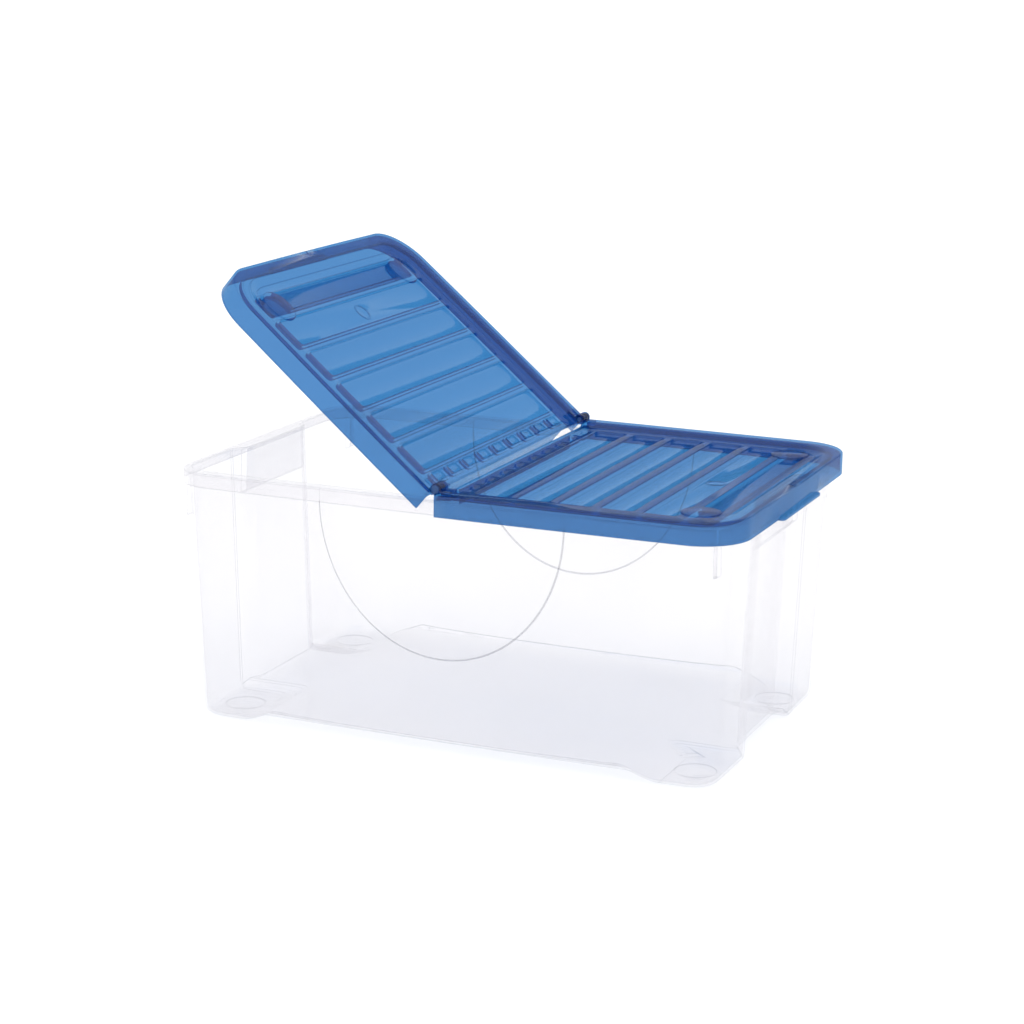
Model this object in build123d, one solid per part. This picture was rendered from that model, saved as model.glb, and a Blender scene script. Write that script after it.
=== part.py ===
from build123d import *
import math
import os

os.makedirs("parts", exist_ok=True)

# Lidded storage box: a drafted box moulding on four corner feet, closed by two lid halves
# that hinge about one line across the middle. Millimetres, X along the box, Y across it,
# Z up from the ground, and the origin on the ground under the hinge line.

# Lid, seen from above
lid_length = 595.0
lid_width = 395.0          # at the hinge, where the bowed long sides are widest
side_bow = 4.0             # how far each long side falls back by the end of the box
end_bow = 1.0
lid_corner = 50.0
lid_gap = 1.2              # from the hinge line to the edge of each half
lid_wall = 2.2

# Heights from the ground
foot_height = 8.0
rim_top = 255.2
rim_skirt = 14.5
rim_round = 1.2
lid_skirt_below_rim_top = 15.2
deck_clearance = 0.4       # between the rim and the underside of the lid's ribbed deck
bead_over_deck = 4.5       # hollow bead round the edge of each half
pocket_depth = 4.5
axis_over_bead = 3.0       # hinge axis over the bead, so the halves fold top to top
rest_angle = 40.0          # how far the left half stands open at rest

# Box walls
box_wall = 2.4
rim_clearance = 0.8        # between the rim's outer face and the lid's skirt
wall_inside_rim = 10.0     # corner posts behind the rim's outer face, at the top
draft = 8.5                # how far a wall comes in from the rim to the floor
post_corner = 30.0
base_round = 9.0
floor_thickness = 2.6
side_post = 86.5            # corner post seen from a long side, up to the recessed panel
side_panel_depth = 2.0
side_panel_round = 3.0     # where a panel's floor turns up into its flanks
end_post = 121.5           # corner post seen from an end
end_panel_depth = 13.0
end_panel_round = 28.0
flank_slope = 1.0          # run of a panel's flank for each millimetre of its depth
arch_half_width = 127.0    # half-ellipse pad on each long side
arch_drop = 146.0
arch_proud = 0.8
foot_length = 84.5         # from the end of the posts to where a foot's slope leaves the floor
foot_width = 114.5
foot_slope_x = 2.6         # run for each millimetre of height
foot_slope_y = 1.0
foot_corner = 14.0
foot_from_end = 41.5       # middle of a foot's flat, from the end of the posts
foot_from_side = 60.5
foot_dish_radius = 20.0
foot_dish_depth = 0.8
stop_rib_inset = 10.0      # from the end of the posts
stop_rib_thickness = 3.0
stop_rib_drop = 32.0

# Lid deck
bead_width = 16.0          # flat top of the bead, from the skirt inwards
bead_slope = 9.0           # run of its inner slope
shoulder_round = 2.0
pocket_first = 26.0        # from the hinge line to the first pocket
pocket_count = 5
pocket_rib = 9.4           # between one pocket and the next
pocket_end_margin = 10.5   # from the end pocket to the foot of the bead's slope
pocket_side_margin = 11.5
end_pocket_length = 23.0
end_pocket_corner_gap = 6.0
pocket_draft = 8.0         # degrees
pocket_corner = 3.0
cell_first = 10.5          # row of small cells along the hinge edge
cell_length = 9.0
cell_width = 25.0
cell_count = 9
cell_side_margin = 4.5     # from the ends of the pockets to the ends of the row
cell_depth = 3.0
pad_from_end = 52.5        # round stacking pads at the outer corners
pad_from_side = 59.5
stacking_pad_radius = 19.0
stacking_pad_rise = 1.2
badge_radius = 10.0
badge_proud = 0.5
badge_line = 2.0
hinge_flange_drop = 15.0
hinge_flange_clearance = 40.0   # from its ends to the inside of the box
seat_rib_thickness = 2.0
seat_rib_inset = 10.0
seat_clearance = 0.3       # between the lid's underside and the rim that it rests on
tab_inside_panel = 3.0     # its ends, from the edges of the end panel below
tab_reach = 4.5
tab_thickness = 3.0
tab_below_skirt = 1.5
thumb_notch_half_width = 12.0
thumb_notch_depth = 1.2
thumb_notch_reach = 8.0

# Hinge
pin_radius = 2.5
pin_running_clearance = 0.06
pin_head_overhang = 1.7
pin_head_thickness = 1.5
pin_head_clearance = 0.3
knuckle_wall = 3.0
knuckle_clearance = 0.4
knuckles_from_side = 23.5  # three at each end of the hinge, from the innermost one's inner face
inner_knuckle_width = 5.0
middle_knuckle_width = 6.5
outer_knuckle_width = 5.0
arm_reach = 15.0
arm_over_bead = 1.6

# Worked-out heights and sizes
deck_top = rim_top + deck_clearance + lid_wall
bead_top = deck_top + bead_over_deck
axis_height = bead_top + axis_over_bead
lid_skirt_bottom = rim_top - lid_skirt_below_rim_top
rim_skirt_bottom = rim_top - rim_skirt
pocket_floor = deck_top - pocket_depth
floor_top = foot_height + floor_thickness
half_length = lid_length / 2
half_width = lid_width / 2
rim_inside_lid = lid_wall + rim_clearance
rim_half_length = half_length - rim_inside_lid
rim_half_width = half_width - rim_inside_lid
rim_corner = lid_corner - rim_inside_lid
post_half_length = rim_half_length - wall_inside_rim
post_half_width = rim_half_width - wall_inside_rim
side_panel_half = post_half_length - side_post
end_panel_half = post_half_width - end_post
foot_start_x = post_half_length - foot_length
foot_start_y = post_half_width - foot_width
deck_half_length = half_length - bead_width - bead_slope
deck_half_width = half_width - bead_width - bead_slope
end_pocket_start = deck_half_length - pocket_end_margin - end_pocket_length
pocket_pitch = (end_pocket_start - pocket_first) / pocket_count
pocket_length = pocket_pitch - pocket_rib
pocket_half_width = deck_half_width - pocket_side_margin
cell_row_half = pocket_half_width - cell_side_margin - cell_width / 2
pad_x = half_length - pad_from_end
pad_y = half_width - pad_from_side
tab_half_width = end_panel_half - tab_inside_panel
hinge_flange_half = post_half_width - side_panel_depth - box_wall - hinge_flange_clearance
pin_hole_radius = pin_radius + pin_running_clearance
pin_head_radius = pin_radius + pin_head_overhang
knuckle_radius = pin_hole_radius + knuckle_wall
inner_knuckle_start = half_width - knuckles_from_side
seat_height = rim_top + seat_clearance
over = 5.0                 # how far a cutter runs past the face that it cuts


def plan(length, width, radius, z):
    # Closed plan outline with bowed sides and rounded corners, as a face at height z.
    # length and width are half sizes, measured at the middle of each side.
    corner_x = length - end_bow
    corner_y = width - side_bow
    with BuildSketch(Plane.XY.offset(z)) as face:
        with BuildLine():
            ThreePointArc((-corner_x, -corner_y), (0, -width), (corner_x, -corner_y))
            ThreePointArc((corner_x, -corner_y), (length, 0), (corner_x, corner_y))
            ThreePointArc((corner_x, corner_y), (0, width), (-corner_x, corner_y))
            ThreePointArc((-corner_x, corner_y), (-length, 0), (-corner_x, -corner_y))
        make_face()
        fillet(face.vertices(), radius)
    return face.sketch


def plan_block(length, width, radius, z_low, z_high):
    return extrude(plan(length, width, radius, z_low), amount=z_high - z_low)


def block(x_low, x_high, y_low, y_high, z_low, z_high):
    size = (x_high - x_low, y_high - y_low, z_high - z_low)
    centre = ((x_high + x_low) / 2, (y_high + y_low) / 2, (z_high + z_low) / 2)
    return Pos(*centre) * Box(*size)


def rod(radius, y_low, y_high, x=0.0, z=None):
    # Cylinder along Y, on the hinge axis unless told otherwise.
    height = axis_height if z is None else z
    centre = Pos(x, (y_low + y_high) / 2, height)
    return centre * Rot(90, 0, 0) * Cylinder(radius, y_high - y_low)


# Box

def wall_inset(z):
    # How far the drafted walls stand inside the posts' top line at height z.
    return draft * (rim_top - z) / (rim_top - foot_height)


def wall_solid(inset, z_low):
    # Drafted block inside the posts' outer faces, set in by a wall's thickness or none.
    faces = []
    for z in (z_low, rim_top + (over if inset > 0 else 0)):
        back = inset + wall_inset(z)
        faces.append(plan(post_half_length - back, post_half_width - back, post_corner - inset, z))
    return loft(faces)


def panel_face(z, half, depth, bend, wall_line, inset):
    # Plan of a recess in the wall on the +Y side, as a face at height z.
    back = wall_line - wall_inset(z)
    deep = back - depth - inset
    out = back + over
    flank = half + (out - deep) * flank_slope
    with BuildSketch(Plane.XY.offset(z)) as face:
        with BuildLine():
            Polyline((-half, deep), (-flank, out), (flank, out), (half, deep), close=True)
        make_face()
        fillet(face.vertices().group_by(Axis.Y)[0], bend + inset)
    return face.sketch


def panel_cutter(half, depth, bend, wall_line, inset):
    heights = (0, rim_top + over)
    return loft([panel_face(z, half, depth, bend, wall_line, inset) for z in heights])


def panel_cutters(inset):
    side = panel_cutter(side_panel_half, side_panel_depth, side_panel_round, post_half_width, inset)
    end = panel_cutter(end_panel_half, end_panel_depth, end_panel_round, post_half_length, inset)
    return [side, Rot(0, 0, 180) * side, Rot(0, 0, 90) * end, Rot(0, 0, -90) * end]


def foot_prism(sign_x, sign_y, inset, z_low):
    # Corner of the base that a foot takes up; its inner sides slope up into the floor.
    faces = []
    for z in (z_low, foot_height + base_round):
        x = foot_start_x + inset - foot_slope_x * (z - foot_height)
        y = foot_start_y + inset - foot_slope_y * (z - foot_height)
        length = half_length - x
        width = half_width - y
        corner = Pos(sign_x * (x + length / 2), sign_y * (y + width / 2), z)
        faces.append(corner * RectangleRounded(length, width, foot_corner - inset))
    return loft(faces)


def walled_block(inset, z_ground, rounding):
    # The walls' block on its four feet: the moulding's outside, or the space inside it.
    floor = z_ground + foot_height
    tall = wall_solid(inset, z_ground)
    body = tall - block(-half_length, half_length, -half_width, half_width, z_ground, floor)
    body = fillet(body.edges().group_by(Axis.Z)[0], rounding)
    rounded = fillet(tall.edges().group_by(Axis.Z)[0], rounding)
    for sign_x in (-1, 1):
        for sign_y in (-1, 1):
            body += rounded & foot_prism(sign_x, sign_y, inset, z_ground)
    for cutter in panel_cutters(inset):
        body -= cutter
    return body


def foot_dish(sign_x, sign_y):
    # Shallow round dish in the floor of a foot.
    foot_x = post_half_length - foot_from_end
    foot_y = post_half_width - foot_from_side
    centre = Pos(sign_x * foot_x, sign_y * foot_y, floor_thickness)
    return centre * Cylinder(foot_dish_radius, 2 * foot_dish_depth)


def stop_ribs(wall):
    # Fins under the rim by each corner, which stop the box where it nests in another.
    low = rim_skirt_bottom - stop_rib_drop
    high = rim_top - box_wall / 2
    inset = box_wall / 2
    inside_rim = plan_block(rim_half_length - inset, rim_half_width - inset,
                            rim_corner - inset, low, high)
    fins = []
    for sign_x in (-1, 1):
        centre = sign_x * (post_half_length - stop_rib_inset)
        slab = block(centre - stop_rib_thickness / 2, centre + stop_rib_thickness / 2,
                     -half_width, half_width, low, high)
        fins += (slab & inside_rim) - wall
    return fins


def side_arches():
    # Half-ellipse pads standing a little proud of both long sides.
    swell = wall_solid(-arch_proud, floor_top)
    for cutter in panel_cutters(-arch_proud):
        swell -= cutter
    swell &= block(-half_length, half_length, -half_width, half_width, 0, rim_top - box_wall / 2)
    with BuildSketch(Plane.XZ.offset(-half_width)) as face:
        with Locations((0, rim_skirt_bottom)):
            Ellipse(arch_half_width, arch_drop)
    return swell & extrude(face.sketch, amount=2 * half_width)


def make_box():
    outer = walled_block(0, 0, base_round)
    rim = plan_block(rim_half_length, rim_half_width, rim_corner, rim_skirt_bottom, rim_top)
    rim = fillet(rim.edges().group_by(Axis.Z)[-1], rim_round)
    rim -= plan_block(rim_half_length - box_wall, rim_half_width - box_wall,
                      rim_corner - box_wall, rim_skirt_bottom - over, rim_top - box_wall)
    body = outer + rim + side_arches() + stop_ribs(outer)
    cavity = walled_block(box_wall, floor_thickness, base_round - box_wall)
    for sign_x in (-1, 1):
        for sign_y in (-1, 1):
            cavity += foot_dish(sign_x, sign_y)
    return body - cavity


# Lid half, drawn shut, on the +X side. The other half is the same moulding turned half a turn.


def deck_cutter(wall):
    # What lies over the deck inside the bead; a wall's thickness lower and wider when the
    # space under the half is wanted.
    shift = wall * math.tan(math.atan2(bead_over_deck, bead_slope) / 2)
    low = bead_width + bead_slope - shift
    high = bead_width - shift
    rise = bead_over_deck
    faces = []
    for inset, z in ((low, deck_top - wall), (high, deck_top + rise - wall)):
        faces.append(plan(half_length - inset, half_width - inset, lid_corner - inset / 2, z))
    top = faces[-1]
    return loft(faces) + extrude(top, amount=over)


def pocket(x_low, x_high, half_y, corner, floor_z, wall):
    # Tapered pocket cutter, open at the top, grown by a wall's thickness for the underside.
    length = x_high - x_low + 2 * wall
    width = 2 * half_y + 2 * wall
    floor = RectangleRounded(length, width, corner + wall)
    face = Pos((x_low + x_high) / 2, 0, floor_z - wall) * floor
    return extrude(face, amount=bead_top - floor_z + over, taper=-pocket_draft)


def pocket_cutters(wall):
    cutters = []
    run = pocket_depth * math.tan(math.radians(pocket_draft))
    for index in range(pocket_count):
        start = pocket_first + index * pocket_pitch
        cutters.append(pocket(start + run, start + pocket_length - run,
                              pocket_half_width - run, pocket_corner, pocket_floor, wall))
    end = pocket(end_pocket_start + run, end_pocket_start + end_pocket_length - run,
                 pocket_half_width - end_pocket_corner_gap, pocket_corner, pocket_floor, wall)
    radius = stacking_pad_radius - wall
    for sign_y in (-1, 1):
        centre = Pos(pad_x, sign_y * pad_y, bead_top)
        end -= centre * Cylinder(radius, 4 * bead_over_deck + 4 * pocket_depth)
    cutters.append(end)
    return cutters


def cell_cutters(wall):
    cutters = []
    for index in range(cell_count):
        y = cell_row_half * (2 * index / (cell_count - 1) - 1)
        cell = pocket(cell_first, cell_first + cell_length, cell_width / 2,
                      pocket_corner / 3, deck_top - cell_depth, wall)
        cutters.append(Pos(0, y, 0) * cell)
    return cutters


def lid_shell():
    outside = plan_block(half_length, half_width, lid_corner, lid_skirt_bottom, bead_top)
    outside = fillet(outside.edges().group_by(Axis.Z)[-1], shoulder_round)
    outside &= block(lid_gap, lid_length, -lid_width, lid_width, 0, axis_height)
    inside = plan_block(half_length - lid_wall, half_width - lid_wall, lid_corner - lid_wall,
                        lid_skirt_bottom - over, bead_top - lid_wall)
    inside &= block(lid_gap + lid_wall, lid_length, -lid_width, lid_width, 0, axis_height)
    for cutter in [deck_cutter(0)] + pocket_cutters(0) + cell_cutters(0):
        outside -= cutter
    for cutter in [deck_cutter(lid_wall)] + pocket_cutters(lid_wall) + cell_cutters(lid_wall):
        inside -= cutter
    return outside - inside


def open_hinge_edge():
    # The hinge edge keeps a short flange inside the box and nothing over the rim.
    side = half_width - lid_wall
    edge = lid_gap + lid_wall + over
    under_flange = deck_top - lid_wall - hinge_flange_drop
    low = block(0, edge, -side, side, 0, under_flange)
    for sign_y in (-1, 1):
        inner, outer = sorted((sign_y * hinge_flange_half, sign_y * side))
        low += block(0, edge, inner, outer, 0, seat_height)
    return low


def seat_rib():
    # Rib under the bead that rests on the box's rim.
    inset = seat_rib_inset
    ring = plan_block(half_length - inset, half_width - inset, lid_corner - inset,
                      seat_height, bead_top - lid_wall)
    inset += seat_rib_thickness
    ring -= plan_block(half_length - inset, half_width - inset, lid_corner - inset, 0, axis_height)
    return ring & block(lid_gap + lid_wall, lid_length, -lid_width, lid_width, 0, axis_height)


def finger_tab():
    low = lid_skirt_bottom - tab_below_skirt
    tab = block(half_length - lid_wall, half_length + tab_reach,
                -tab_half_width, tab_half_width, low, low + tab_thickness)
    corners = tab.edges().filter_by(Axis.Z).group_by(Axis.X)[-1]
    return fillet(corners, tab_reach * 0.9)


def badge_ring():
    centre = Pos(pocket_first + (pocket_count - 1) * pocket_pitch + pocket_length / 2, 0)
    ring = Cylinder(badge_radius, 2 * badge_proud)
    ring -= Cylinder(badge_radius - badge_line, 2 * badge_proud)
    return centre * Pos(0, 0, pocket_floor) * ring


def knuckle_spans():
    # Start and end of the inner, middle and outer knuckles, away from the middle of the lid.
    spans = []
    start = inner_knuckle_start
    for width in (inner_knuckle_width, middle_knuckle_width, outer_knuckle_width):
        spans.append((start, start + width))
        start += width + knuckle_clearance
    return spans


def knuckle(span, sign_y):
    # Barrel on the hinge axis with the arm that joins it to the half.
    low, high = sorted((sign_y * span[0], sign_y * span[1]))
    arm = block(0, arm_reach, low, high, seat_height, bead_top + arm_over_bead)
    return rod(knuckle_radius, low, high) + arm


def knuckle_notch(span, sign_y):
    # Room in one half for the other half's knuckle.
    ends = (sign_y * (span[0] - knuckle_clearance), sign_y * (span[1] + knuckle_clearance))
    low, high = sorted(ends)
    return rod(knuckle_radius + knuckle_clearance, low, high)


def head_notch(knuckle_end, sign_y):
    # Room for the head of a hinge pin outside the outer knuckle.
    room = pin_head_thickness + 2 * pin_head_clearance
    low, high = sorted((sign_y * knuckle_end, sign_y * (knuckle_end + room)))
    return rod(pin_head_radius + knuckle_clearance, low, high)


def make_lid_half():
    half = lid_shell() - open_hinge_edge() + seat_rib() + finger_tab() + badge_ring()
    for sign_y in (-1, 1):
        half += stacking_pad(sign_y)
    half -= thumb_notch()
    inner, middle, outer = knuckle_spans()
    for span in (inner, outer):
        half -= knuckle_notch(span, 1)
        half += knuckle(span, -1)
    half -= knuckle_notch(middle, -1)
    half += knuckle(middle, 1)
    for sign_y in (-1, 1):
        half -= head_notch(outer[1], sign_y)
    return half - rod(pin_hole_radius, -lid_width, lid_width)


def stacking_pad(sign_y):
    disc = Cylinder(stacking_pad_radius, stacking_pad_rise + 1)
    return Pos(pad_x, sign_y * pad_y, deck_top + (stacking_pad_rise - 1) / 2) * disc


def thumb_notch():
    return block(half_length - thumb_notch_reach, half_length + over,
                 -thumb_notch_half_width, thumb_notch_half_width,
                 bead_top - thumb_notch_depth, bead_top + over)


def make_pin(sign_y):
    # Headed pin through the three knuckles at one end of the hinge.
    spans = knuckle_spans()
    head = sign_y * (spans[-1][1] + pin_head_clearance)
    tip = sign_y * spans[0][0]
    cap = head + sign_y * pin_head_thickness
    shaft = rod(pin_radius, min(tip, head), max(tip, head))
    return shaft + rod(pin_head_radius, min(head, cap), max(head, cap))


def raised(solid, angle):
    # Turned about the hinge axis; a positive angle lifts the -X half.
    hinge = Axis((0, 0, axis_height), (0, 1, 0))
    return solid.rotate(hinge, angle)


half = make_lid_half()
parts = {
    "box": make_box(),
    "lid_half_right": half,
    "lid_half_left": raised(half.rotate(Axis.Z, 180), rest_angle),
    "hinge_pin_near": make_pin(-1),
    "hinge_pin_far": make_pin(1),
}
for name, solid in parts.items():
    export_step(solid, f"parts/{name}.step")
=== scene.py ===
import bmesh
import bpy
import math
from mathutils import Matrix, Vector


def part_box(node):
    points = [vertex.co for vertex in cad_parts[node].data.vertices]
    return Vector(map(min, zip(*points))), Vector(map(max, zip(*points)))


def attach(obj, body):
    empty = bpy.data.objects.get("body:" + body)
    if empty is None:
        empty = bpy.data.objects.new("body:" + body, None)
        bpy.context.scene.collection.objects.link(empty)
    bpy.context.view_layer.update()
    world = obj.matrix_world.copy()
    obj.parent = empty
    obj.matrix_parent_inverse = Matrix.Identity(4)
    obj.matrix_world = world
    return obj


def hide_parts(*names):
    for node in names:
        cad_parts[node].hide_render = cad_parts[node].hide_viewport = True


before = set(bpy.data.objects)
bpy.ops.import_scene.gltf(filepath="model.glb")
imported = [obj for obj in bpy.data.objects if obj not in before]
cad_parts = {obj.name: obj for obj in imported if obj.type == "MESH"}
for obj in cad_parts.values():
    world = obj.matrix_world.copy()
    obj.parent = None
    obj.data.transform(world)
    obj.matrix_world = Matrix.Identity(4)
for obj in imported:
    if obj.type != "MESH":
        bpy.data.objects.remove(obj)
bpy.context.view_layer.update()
print("frame loaded")

mm = 0.001


class Wire:
    # One output of a shader node. Arithmetic on it adds Math nodes.
    def __init__(self, tree, socket=None):
        self.tree = tree
        self.socket = socket

    def node(self, kind, settings=None, output=0, **sockets):
        made = self.tree.nodes.new("ShaderNode" + kind)
        for name, value in (settings or {}).items():
            setattr(made, name, value)
        for name, value in sockets.items():
            wanted = name.replace("_", " ")
            key = int(wanted[1:]) if wanted[0] == "n" and wanted[1:].isdigit() else wanted
            socket = made.inputs[key]
            if isinstance(value, Wire):
                self.tree.links.new(value.socket, socket)
            else:
                socket.default_value = value
        return Wire(self.tree, made.outputs[output])

    def maths(self, operation, first, second=0.0):
        return self.node("Math", {"operation": operation}, n0=first, n1=second)

    def __add__(self, other):
        return self.maths("ADD", self, other)

    def __mul__(self, other):
        return self.maths("MULTIPLY", self, other)

    def __sub__(self, other):
        return self.maths("SUBTRACT", self, other)

    def __rsub__(self, other):
        return self.maths("SUBTRACT", other, self)

    def __pow__(self, other):
        return self.maths("POWER", self, other)

    __radd__ = __add__
    __rmul__ = __mul__


def newMaterial(name):
    material = bpy.data.materials.new(name)
    material.use_nodes = True
    material.node_tree.nodes.clear()
    return material, Wire(material.node_tree)


def closeMaterial(start, surface):
    output = start.tree.nodes.new("ShaderNodeOutputMaterial")
    start.tree.links.new(surface.socket, output.inputs["Surface"])


def partsOf(start, vector):
    # The X, Y and Z of a vector, each as its own Wire.
    apart = start.node("SeparateXYZ", Vector=vector).socket.node
    return [Wire(start.tree, apart.outputs[axis]) for axis in "XYZ"]


def archShadeLine(start, place, arch):
    # The fine moulded line round the half-ellipse pad on each long side, drawn as a painted shade line on
    # the wall.
    x, y, z = partsOf(start, place)
    along = x * (1 / arch["halfWidth"])
    down = (z - arch["top"]) * (1 / arch["drop"])
    away = ((along * along + down * down) ** 0.5 - 1.0) * arch["halfWidth"]
    ring = start.node("MapRange", Value=away * away, From_Min=0.0, From_Max=arch["width"] ** 2,
                      To_Min=arch["share"], To_Max=0.0)
    below = start.node("MapRange", Value=down, From_Min=0.0, From_Max=-arch["fade"])
    sides = start.node("Attribute", {"attribute_name": "sideFace"}, output=2)
    return ring * below * sides


def polishedPlastic(name, look):
    # See-through moulded plastic: each face takes off a share of the light that passes, a thin
    # haze scatters its own colour, and the skin mirrors more where it is seen at a slant. On the eased
    # edges and the arch line it passes less and hazes more: painted shade lines.
    material, start = newMaterial(name)
    place = start.node("TexCoord", output=3)
    cloud = start.node("TexNoise", Vector=place, Scale=look["cloudScale"], Detail=3.0,
                       Roughness=look["cloudRough"])
    grain = start.node("TexNoise", Vector=place, Scale=look["grainScale"], Detail=2.0)
    # Painted shade: the mask of eased edges, and of the arch line, where the plastic is drawn darker.
    edge = start.node("Attribute", {"attribute_name": "easedEdge"}, output=2) * look["edgeShadeShare"]
    if "arch" in look:
        edge = edge + archShadeLine(start, place, look["arch"])
    slant = start.node("LayerWeight", output=1, Blend=0.5)
    mirror = look["mirrorStraight"] + look["mirrorSlant"] * slant ** look["mirrorPower"]
    colour = start.node("Mix", {"data_type": "RGBA"}, output=2, n0=cloud, n6=look["colour"],
                        n7=look["colourCloud"])
    relief = start.node("Bump", n0=look["bump"], n1=look["grainDepth"], Height=grain)
    rough = look["rough"] + look["roughCloud"] * cloud
    haze = start.node("BsdfPrincipled", Base_Color=colour, Roughness=rough, Normal=relief,
                      IOR=look["bending"])
    clear = start.node("BsdfTransparent", Color=look["passes"])
    dim = start.node("BsdfTransparent", Color=look["passesSlant"])
    # The darker pass-through on that mask is painted shade.
    edgeShade = start.node("BsdfTransparent", Color=look["passesEdgeShade"])
    through = start.node("MixShader", n0=slant ** look["slantPower"], n1=clear, n2=dim)
    through = start.node("MixShader", n0=edge, n1=through, n2=edgeShade)
    slantHaze = look["hazeSlant"] * slant ** look["hazePower"]
    hazeShare = look["haze"] + slantHaze + look["hazeEdgeShade"] * edge
    body = start.node("MixShader", n0=hazeShare, n1=through, n2=haze)
    shine = start.node("BsdfGlossy", Color=(1, 1, 1, 1), Roughness=look["shineRough"], Normal=relief)
    surface = start.node("MixShader", n0=mirror, n1=body, n2=shine)
    closeMaterial(start, surface)
    return material


bodyLook = {
    "colour": (0.60, 0.59, 0.64, 1), "colourCloud": (0.68, 0.67, 0.72, 1),
    "cloudScale": 9.0, "cloudRough": 0.55, "grainScale": 900.0, "grainDepth": 0.2 * mm, "bump": 0.12,
    "rough": 0.25, "roughCloud": 0.15, "haze": 0.05, "hazeSlant": 0.06, "hazePower": 2.0,
    # Edge haze and edge pass-through below paint shade lines on the eased edges and the arch line.
    "hazeEdgeShade": 0.1, "bending": 1.49,
    "passes": (0.987, 0.985, 0.989, 1), "passesSlant": (0.965, 0.962, 0.970, 1), "slantPower": 3.0,
    "passesEdgeShade": (0.45, 0.45, 0.48, 1), "edgeShadeShare": 0.30,
    "mirrorStraight": 0.04, "mirrorSlant": 0.45, "mirrorPower": 5.0, "shineRough": 0.06,
    # The arch is a real moulded line, drawn as a painted shade line.
    "arch": {"halfWidth": 127 * mm, "drop": 146 * mm, "top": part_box("box")[1][2] - 14.2 * mm,
             "width": 1.1 * mm, "share": 0.6, "fade": 0.02},
}
lidLook = {
    "colour": (0.008, 0.15, 0.40, 1), "colourCloud": (0.02, 0.19, 0.47, 1),
    "cloudScale": 7.0, "cloudRough": 0.55, "grainScale": 900.0, "grainDepth": 0.2 * mm, "bump": 0.12,
    "rough": 0.25, "roughCloud": 0.15, "haze": 0.05, "hazeSlant": 0.03, "hazePower": 2.0,
    "hazeEdgeShade": 0.0, "bending": 1.49,
    "passes": (0.245, 0.475, 0.72, 1), "passesSlant": (0.13, 0.46, 0.70, 1), "slantPower": 3.0,
    # Edge pass-through: painted shade lines on the eased edges.
    "passesEdgeShade": (0.02, 0.22, 0.46, 1), "edgeShadeShare": 0.6,
    "mirrorStraight": 0.03, "mirrorSlant": 0.22, "mirrorPower": 5.0, "shineRough": 0.08,
}
pinLook = {
    "colour": (0.005, 0.035, 0.14, 1), "worn": (0.02, 0.09, 0.26, 1), "scale": 300.0,
    "rough": 0.3, "roughSpeck": 0.2, "bump": 0.15, "grainDepth": 0.2 * mm,
}


def solidPlastic(name, look):
    # Opaque moulded plastic, paler where it is worn.
    material, start = newMaterial(name)
    place = start.node("TexCoord", output=3)
    speck = start.node("TexNoise", Vector=place, Scale=look["scale"], Detail=3.0)
    colour = start.node("Mix", {"data_type": "RGBA"}, output=2, n0=speck, n6=look["colour"], n7=look["worn"])
    relief = start.node("Bump", n0=look["bump"], n1=look["grainDepth"], Height=speck)
    rough = look["rough"] + look["roughSpeck"] * speck
    surface = start.node("BsdfPrincipled", Base_Color=colour, Roughness=rough, Normal=relief)
    closeMaterial(start, surface)
    return material


clearPlastic = polishedPlastic("clearPlastic", bodyLook)
bluePlastic = polishedPlastic("bluePlastic", lidLook)
darkPlastic = solidPlastic("darkPlastic", pinLook)
print("materials made")


def eased(node, name, body, material, edge):
    # A moulding with its sharp edges eased: a merged copy of the solid, bevelled. The eased faces and
    # the outward faces of the long sides are marked, for the materials, which paint shade lines on them.
    form = bmesh.new()
    form.from_mesh(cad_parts[node].data)
    bmesh.ops.remove_doubles(form, verts=form.verts, dist=edge["merge"])
    bmesh.ops.dissolve_limit(form, angle_limit=math.radians(edge["flat"]), verts=form.verts,
                             edges=form.edges)
    marks = form.faces.layers.float.new("easedEdge")
    # The bevel throws spikes where edges are very short, so a corner with one is left as it is.
    nearby = {v: min(e.calc_length() for e in v.link_edges) for v in form.verts if v.link_edges}
    sharp = [e for e in form.edges if e.is_manifold and e.calc_face_angle() > math.radians(edge["sharp"])
             and min(nearby[v] for v in e.verts) > edge["shortest"]]
    rounded = bmesh.ops.bevel(form, geom=sharp, offset=edge["width"], offset_type="OFFSET",
                              segments=edge["segments"], profile=0.5, affect="EDGES", material=-1,
                              clamp_overlap=edge["clamp"])
    for face in rounded["faces"]:
        face[marks] = 1.0
    bmesh.ops.triangulate(form, faces=[f for f in form.faces if len(f.verts) > 4])
    form.normal_update()
    sides = form.faces.layers.float.new("sideFace")
    for face in form.faces:
        outward = face.normal.y * math.copysign(1.0, face.calc_center_median().y)
        face[sides] = 1.0 if outward > edge["sideways"] else 0.0
        face.smooth = True
    mesh = bpy.data.meshes.new(name)
    form.to_mesh(mesh)
    form.free()
    mesh.materials.clear()
    mesh.materials.append(material)
    mesh.set_sharp_from_angle(angle=math.radians(edge["smooth"]))
    piece = bpy.data.objects.new(name, mesh)
    bpy.context.scene.collection.objects.link(piece)
    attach(piece, body)
    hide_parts(node)


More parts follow.
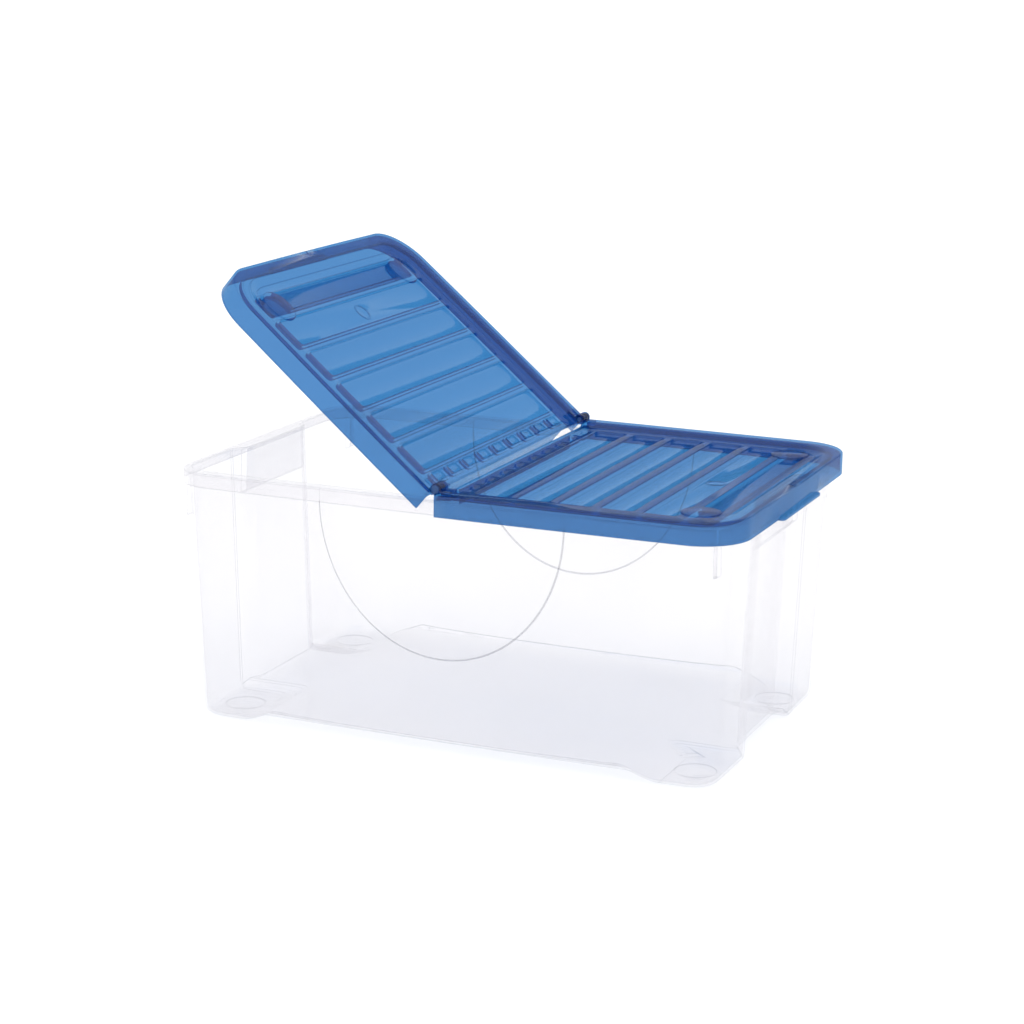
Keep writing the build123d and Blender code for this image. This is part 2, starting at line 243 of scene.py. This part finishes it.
mouldEdge = {"merge": 0.01 * mm, "flat": 0.3, "sharp": 20.0, "shortest": 0.45 * mm, "width": 0.4 * mm,
             "segments": 2, "clamp": False, "smooth": 50.0, "sideways": 0.9}
pinEdge = {"merge": 0.01 * mm, "flat": 0.3, "sharp": 20.0, "shortest": 0.1 * mm, "width": 0.2 * mm,
           "segments": 2, "clamp": False, "smooth": 50.0, "sideways": 0.9}
eased("box", "clearTub", "box", clearPlastic, mouldEdge)
eased("lid_half_right", "lidRight", "right_half", bluePlastic, mouldEdge)
eased("lid_half_left", "lidLeft", "left_half", bluePlastic, mouldEdge)
eased("hinge_pin_near", "pinNear", "hinge_pins", darkPlastic, pinEdge)
eased("hinge_pin_far", "pinFar", "hinge_pins", darkPlastic, pinEdge)
print("mouldings made")


def makeFloor():
    # A wide pale floor, just under the feet.
    floor = {"half": 40.0, "below": 0.2 * mm, "colour": (0.42, 0.42, 0.42, 1), "rough": 0.9, "glow": 0.66}
    form = bmesh.new()
    bmesh.ops.create_grid(form, x_segments=1, y_segments=1, size=floor["half"])
    mesh = bpy.data.meshes.new("floor")
    form.to_mesh(mesh)
    form.free()
    material, start = newMaterial("paleFloor")
    surface = start.node("BsdfPrincipled", Base_Color=floor["colour"], Roughness=floor["rough"],
                         Emission_Color=(1, 1, 1, 1), Emission_Strength=floor["glow"])
    closeMaterial(start, surface)
    mesh.materials.append(material)
    piece = bpy.data.objects.new("floor", mesh)
    piece.location.z = -floor["below"]
    bpy.context.scene.collection.objects.link(piece)


def softBox(name, place, target, size, power):
    light = bpy.data.lights.new(name, "AREA")
    light.shape = "RECTANGLE"
    light.size, light.size_y = size
    light.energy = power
    lamp = bpy.data.objects.new(name, light)
    lamp.location = place
    lamp.rotation_euler = (Vector(target) - Vector(place)).to_track_quat("-Z", "Y").to_euler()
    bpy.context.scene.collection.objects.link(lamp)


def makeLight():
    # A white tent, a little brighter overhead, with one soft box inside it.
    tent = {"low": 1.02, "high": 1.06, "highFrom": 0.6}
    overhead = {"place": (0.2, -0.3, 2.4), "target": (0, 0, 0.2), "size": (2.4, 1.8), "power": 12}
    world = bpy.data.worlds.new("studio")
    world.use_nodes = True
    world.node_tree.nodes.clear()
    start = Wire(world.node_tree)
    x, y, height = partsOf(start, start.node("TexCoord", output=0))
    rise = start.node("MapRange", {"interpolation_type": "SMOOTHSTEP"}, Value=height, From_Min=0.0,
                      From_Max=tent["highFrom"])
    strength = tent["low"] + (tent["high"] - tent["low"]) * rise
    glow = start.node("Background", Color=(1, 1, 1, 1), Strength=strength)
    output = start.tree.nodes.new("ShaderNodeOutputWorld")
    start.tree.links.new(glow.socket, output.inputs["Surface"])
    bpy.context.scene.world = world
    softBox("overhead", **overhead)


def makeCamera():
    # Seen from the front and a little to the right, from just above the rim.
    shot = {"azimuth": 22.99, "elevation": 13.67, "roll": 0.763, "distance": 2.5692,
            "aim": (-0.00266, 0.0, 0.20168), "lens": 89.26}
    turn, lift, tilt = (math.radians(shot[key]) for key in ("azimuth", "elevation", "roll"))
    back = Vector((math.sin(turn) * math.cos(lift), -math.cos(turn) * math.cos(lift), math.sin(lift)))
    right = Vector((math.cos(turn), math.sin(turn), 0))
    up = back.cross(right)
    data = bpy.data.cameras.new("camera")
    data.lens = shot["lens"]
    data.clip_start, data.clip_end = 0.05, 200.0
    camera = bpy.data.objects.new("camera", data)
    sideways = math.cos(tilt) * right + math.sin(tilt) * up
    upward = math.cos(tilt) * up - math.sin(tilt) * right
    turned = Matrix((sideways, upward, back)).transposed().to_4x4()
    camera.matrix_world = Matrix.Translation(Vector(shot["aim"]) + shot["distance"] * back) @ turned
    bpy.context.scene.collection.objects.link(camera)
    bpy.context.scene.camera = camera


makeFloor()
makeLight()
makeCamera()
scene = bpy.context.scene
scene.view_settings.view_transform = "Standard"
scene.cycles.transparent_max_bounces = 64    # every wall is two faces, and the lid has many
print("floor, light and camera made")
